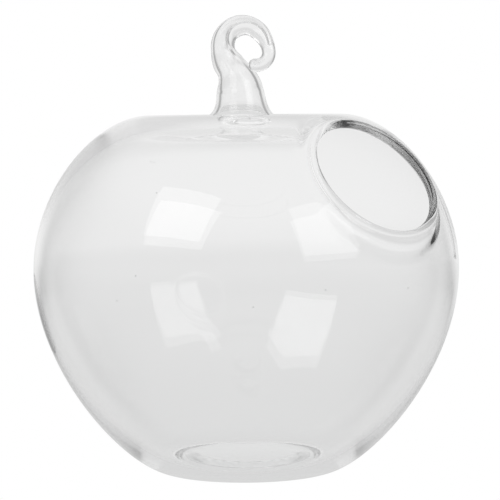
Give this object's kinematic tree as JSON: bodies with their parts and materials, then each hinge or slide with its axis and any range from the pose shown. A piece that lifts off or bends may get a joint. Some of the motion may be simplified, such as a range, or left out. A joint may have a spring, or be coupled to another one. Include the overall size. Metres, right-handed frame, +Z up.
{
  "type": "hanging glass planter",
  "caption": "Clear hand-blown glass hanging planter: an apple-shaped globe with a hollow neck curled into a hook and a round side mouth with a melted lip.",
  "frame": {"origin": "middle of the flat ring the globe stands on, under the middle of the globe", "axes": "+Z up through the globe and its neck; the hook curls in the XZ plane with its tip to +X, so a cord or bar passes through the eye along Y; the mouth opens up, to +X and to -Y"},
  "size_m": [0.12, 0.12, 0.1285],
  "materials": {
    "clear_glass": "clear, fire-polished"
  },
  "bodies": {
    "root": {"glass_planter": "clear_glass"}
  },
  "joints": []
}
